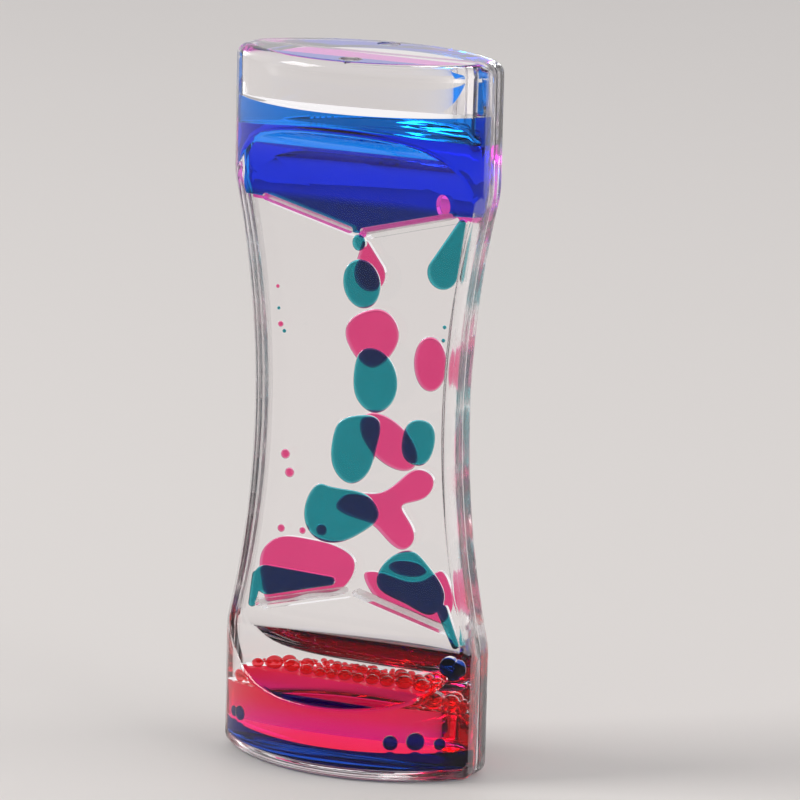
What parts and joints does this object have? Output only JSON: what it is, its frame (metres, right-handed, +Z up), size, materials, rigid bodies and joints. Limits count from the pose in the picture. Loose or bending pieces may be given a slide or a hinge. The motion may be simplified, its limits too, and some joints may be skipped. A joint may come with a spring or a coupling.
{
  "type": "liquid motion timer",
  "caption": "Clear hourglass-shaped liquid motion timer: two sealed cells of oil in which dyed drops fall from a funnel onto a roof-shaped rib.",
  "frame": {"origin": "centre of the base, on the surface that the timer stands on", "axes": "+Z up along the height, +X to the right across the width, -Y towards the front window"},
  "size_m": [0.054, 0.0324, 0.14],
  "materials": {
    "clear_plastic": "clear, polished moulding",
    "clear_oil": "clear liquid",
    "blue_liquid": "clear dyed liquid",
    "pink_liquid": "clear dyed liquid"
  },
  "bodies": {
    "case": {"front_shell": "clear_plastic", "rear_shell": "clear_plastic", "divider_plate": "clear_plastic", "front_fill_plug": "clear_plastic", "rear_fill_plug": "clear_plastic", "front_oil": "clear_oil", "rear_oil": "clear_oil", "blue_upper_reservoir": "blue_liquid", "blue_lower_pool": "blue_liquid", "blue_roof_pool_left": "blue_liquid", "blue_roof_pool_right": "blue_liquid", "blue_settled_beads": "blue_liquid", "blue_fine_droplets": "blue_liquid", "pink_upper_reservoir": "pink_liquid", "pink_lower_pool": "pink_liquid", "pink_roof_pool_left": "pink_liquid", "pink_roof_pool_right": "pink_liquid", "pink_foam_beads": "pink_liquid", "pink_fine_droplets": "pink_liquid"},
    "blue_drop_1": {"blue_drop_1": "blue_liquid"},
    "blue_drop_2": {"blue_drop_2": "blue_liquid"},
    "blue_drop_3": {"blue_drop_3": "blue_liquid"},
    "blue_drop_4": {"blue_drop_4": "blue_liquid"},
    "blue_drop_5": {"blue_drop_5": "blue_liquid"},
    "blue_drop_6": {"blue_drop_6": "blue_liquid"},
    "blue_side_drop": {"blue_side_drop": "blue_liquid"},
    "blue_outlet_drop": {"blue_outlet_drop": "blue_liquid"},
    "pink_drop_1": {"pink_drop_1": "pink_liquid"},
    "pink_drop_2": {"pink_drop_2": "pink_liquid"},
    "pink_drop_3": {"pink_drop_3": "pink_liquid"},
    "pink_drop_4": {"pink_drop_4": "pink_liquid"},
    "pink_side_drop": {"pink_side_drop": "pink_liquid"}
  },
  "joints": [
    {"name": "blue_drop_1_fall", "type": "slide", "parent": "case", "child": "blue_drop_1", "axis": [0, 0, -1], "range_m": [0, 0.0055]},
    {"name": "blue_drop_2_fall", "type": "slide", "parent": "case", "child": "blue_drop_2", "axis": [0, 0, -1], "range_m": [0, 0.0055]},
    {"name": "blue_drop_3_fall", "type": "slide", "parent": "case", "child": "blue_drop_3", "axis": [0, 0, -1], "range_m": [0, 0.0055]},
    {"name": "blue_drop_4_fall", "type": "slide", "parent": "case", "child": "blue_drop_4", "axis": [0, 0, -1], "range_m": [0, 0.0055]},
    {"name": "blue_drop_5_fall", "type": "slide", "parent": "case", "child": "blue_drop_5", "axis": [0, 0, -1], "range_m": [0, 0.0055]},
    {"name": "blue_drop_6_fall", "type": "slide", "parent": "case", "child": "blue_drop_6", "axis": [0, 0, -1], "range_m": [0, 0.0055], "deforming": ["front_oil"]},
    {"name": "blue_side_drop_fall", "type": "slide", "parent": "case", "child": "blue_side_drop", "axis": [-0.1478, 0, -0.989], "range_m": [0, 0.004]},
    {"name": "blue_outlet_drop_fall", "type": "slide", "parent": "case", "child": "blue_outlet_drop", "axis": [0, 0, -1], "range_m": [0, 0.0122]},
    {"name": "pink_drop_1_fall", "type": "slide", "parent": "case", "child": "pink_drop_1", "axis": [0, 0, -1], "range_m": [0, 0.0032]},
    {"name": "pink_drop_2_fall", "type": "slide", "parent": "case", "child": "pink_drop_2", "axis": [0, 0, -1], "range_m": [0, 0.008]},
    {"name": "pink_drop_3_fall", "type": "slide", "parent": "case", "child": "pink_drop_3", "axis": [0, 0, -1], "range_m": [0, 0.0015]},
    {"name": "pink_drop_4_fall", "type": "slide", "parent": "case", "child": "pink_drop_4", "axis": [0, 0, -1], "range_m": [0, 0.0015], "deforming": ["rear_oil"]},
    {"name": "pink_side_drop_fall", "type": "slide", "parent": "case", "child": "pink_side_drop", "axis": [0, 0, -1], "range_m": [0, 0.012]}
  ],
  "couplings": [
    {"joint": "blue_drop_1_fall", "follows": "blue_drop_6_fall", "ratio": 1},
    {"joint": "blue_drop_2_fall", "follows": "blue_drop_6_fall", "ratio": 1},
    {"joint": "blue_drop_3_fall", "follows": "blue_drop_6_fall", "ratio": 1},
    {"joint": "blue_drop_4_fall", "follows": "blue_drop_6_fall", "ratio": 1},
    {"joint": "blue_drop_5_fall", "follows": "blue_drop_6_fall", "ratio": 1},
    {"joint": "pink_drop_1_fall", "follows": "pink_drop_2_fall", "ratio": 0.4},
    {"joint": "pink_drop_3_fall", "follows": "pink_drop_4_fall", "ratio": 1}
  ]
}
